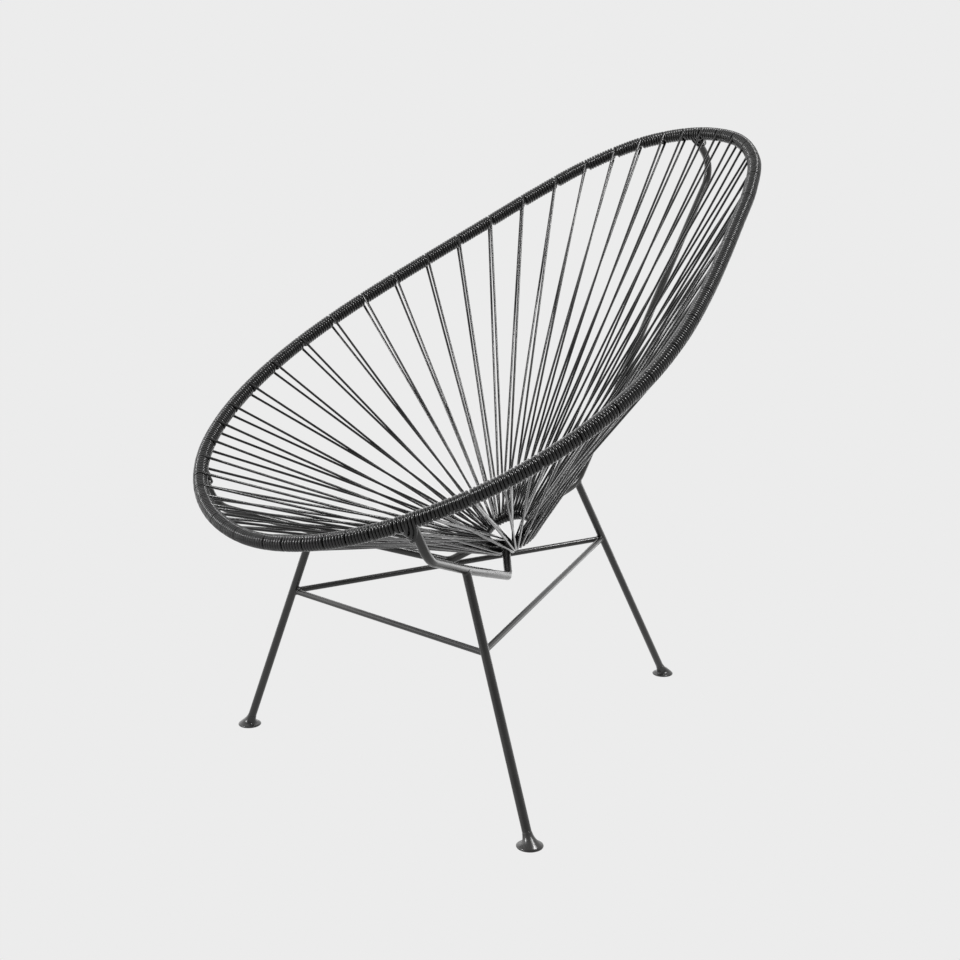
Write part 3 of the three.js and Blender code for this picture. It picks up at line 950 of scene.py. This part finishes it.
def toward(direction, low, high, power=1.0):
    """low away from the direction, high towards it."""
    dot = wn.nodes.new("ShaderNodeVectorMath")
    dot.operation = "DOT_PRODUCT"
    dot.inputs[1].default_value = direction
    wn.links.new(way, dot.inputs[0])
    span = wn.nodes.new("ShaderNodeMapRange")
    span.inputs["From Min"].default_value = -1.0 if power == 1.0 else 0.0
    wn.links.new(dot.outputs["Value"], span.inputs["Value"])
    bend = wn.nodes.new("ShaderNodeMath")
    bend.operation = "POWER"
    bend.inputs[1].default_value = power
    wn.links.new(span.outputs[0], bend.inputs[0])
    scale = wn.nodes.new("ShaderNodeMath")
    scale.operation = "MULTIPLY_ADD"
    scale.inputs[1].default_value, scale.inputs[2].default_value = high - low, low
    wn.links.new(bend.outputs[0], scale.inputs[0])
    return scale.outputs[0]


def plus(first, second):
    total = wn.nodes.new("ShaderNodeMath")
    total.operation = "ADD"
    wn.links.new(first, total.inputs[0])
    wn.links.new(second, total.inputs[1])
    return total.outputs[0]


wide = plus(toward((-0.695, 0.719, 0.0), 0.3, 1.3), toward((-0.87, -0.39, 0.30), 0.0, 1.0, 3.0))
wn.links.new(wide, lit.inputs["Strength"])
pick = wn.nodes.new("ShaderNodeMixShader")
path_info = wn.nodes.new("ShaderNodeLightPath")
wn.links.new(path_info.outputs["Is Camera Ray"], pick.inputs[0])
wn.links.new(lit.outputs[0], pick.inputs[1])
wn.links.new(seen.outputs[0], pick.inputs[2])
wn.links.new(pick.outputs[0], w_out.inputs[0])

fm = bpy.data.materials.new("floor")
fm.use_nodes = True
fn = fm.node_tree
fn.nodes.clear()
f_out = fn.nodes.new("ShaderNodeOutputMaterial")
glow = fn.nodes.new("ShaderNodeEmission")
glow.inputs["Color"].default_value = (1, 1, 1, 1)
glow.inputs["Strength"].default_value = BACKDROP
bounce = fn.nodes.new("ShaderNodeEmission")
bounce.inputs["Color"].default_value = (1, 1, 1, 1)
# the floor is flat; the light it gives off for rays other than the camera's grows stronger behind the chair, as from a
# brightly lit sweep
where = fn.nodes.new("ShaderNodeTexCoord").outputs["Object"]
back = fn.nodes.new("ShaderNodeVectorMath")
back.operation = "DOT_PRODUCT"
back.inputs[1].default_value = (-0.695, 0.719, 0.0)
fn.links.new(where, back.inputs[0])
sweep = fn.nodes.new("ShaderNodeMapRange")
sweep.interpolation_type = "SMOOTHSTEP"
for key, value in (("From Min", 0.0), ("From Max", 1.3), ("To Min", 0.75), ("To Max", 2.7)):
    sweep.inputs[key].default_value = value
fn.links.new(back.outputs["Value"], sweep.inputs["Value"])
fn.links.new(sweep.outputs[0], bounce.inputs["Strength"])
floor_path = fn.nodes.new("ShaderNodeLightPath")
floor_pick = fn.nodes.new("ShaderNodeMixShader")
fn.links.new(floor_path.outputs["Is Camera Ray"], floor_pick.inputs[0])
fn.links.new(bounce.outputs[0], floor_pick.inputs[1])
fn.links.new(glow.outputs[0], floor_pick.inputs[2])
fn.links.new(floor_pick.outputs[0], f_out.inputs[0])
fme = bpy.data.meshes.new("floor")
R = 60.0
ring_n = 64
fv = [(R * math.cos(2 * math.pi * k / ring_n), R * math.sin(2 * math.pi * k / ring_n), -0.0004) for k in range(ring_n)]
fme.from_pydata(fv, [], [tuple(range(ring_n))])
floor = bpy.data.objects.new("floor", fme)
bpy.context.scene.collection.objects.link(floor)
fme.materials.append(fm)


def area_light(name, at, target, size, energy):
    ld = bpy.data.lights.new(name, "AREA")
    ld.shape = "RECTANGLE"
    ld.size, ld.size_y = size
    ld.energy = energy
    lo = bpy.data.objects.new(name, ld)
    lo.location = at
    lo.rotation_mode = "QUATERNION"
    lo.rotation_quaternion = (Vector(target) - Vector(at)).to_track_quat("-Z", "Y")
    bpy.context.scene.collection.objects.link(lo)
    return lo


CAM = vec(1.40477, -1.45095, 0.77551)
area_light("key_left", (-1.08, -2.55, 1.605), (0, 0, 0.45), (0.55, 0.7), 52)
area_light("key_right", (1.67, 0.58, 2.88), (0, 0, 0.45), (0.55, 0.7), 66)

cam_data = bpy.data.cameras.new("camera")
cam_data.sensor_width = 36.0
cam_data.sensor_fit = "HORIZONTAL"
cam_data.lens = 1393.025 / 960 * 36
cam_data.clip_end = 200
cam_data.shift_x, cam_data.shift_y = -0.5 / 960, 0.5 / 960
camera = bpy.data.objects.new("camera", cam_data)
bpy.context.scene.collection.objects.link(camera)
pitch, azimuth, roll = math.radians(10.834), math.radians(45.310), math.radians(0.084)
fw = vec(-math.sin(azimuth) * math.cos(pitch), math.cos(azimuth) * math.cos(pitch), -math.sin(pitch))
rt = vec(math.cos(azimuth), math.sin(azimuth), 0)
up = np.cross(rt, fw)
rt, up = math.cos(roll) * rt + math.sin(roll) * up, -math.sin(roll) * rt + math.cos(roll) * up
camera.matrix_world = Matrix([[*map(float, (rt[i], up[i], -fw[i])), float(CAM[i])] for i in range(3)] + [[0, 0, 0, 1]])
bpy.context.scene.camera = camera
bpy.context.scene.view_settings.view_transform = "Standard"
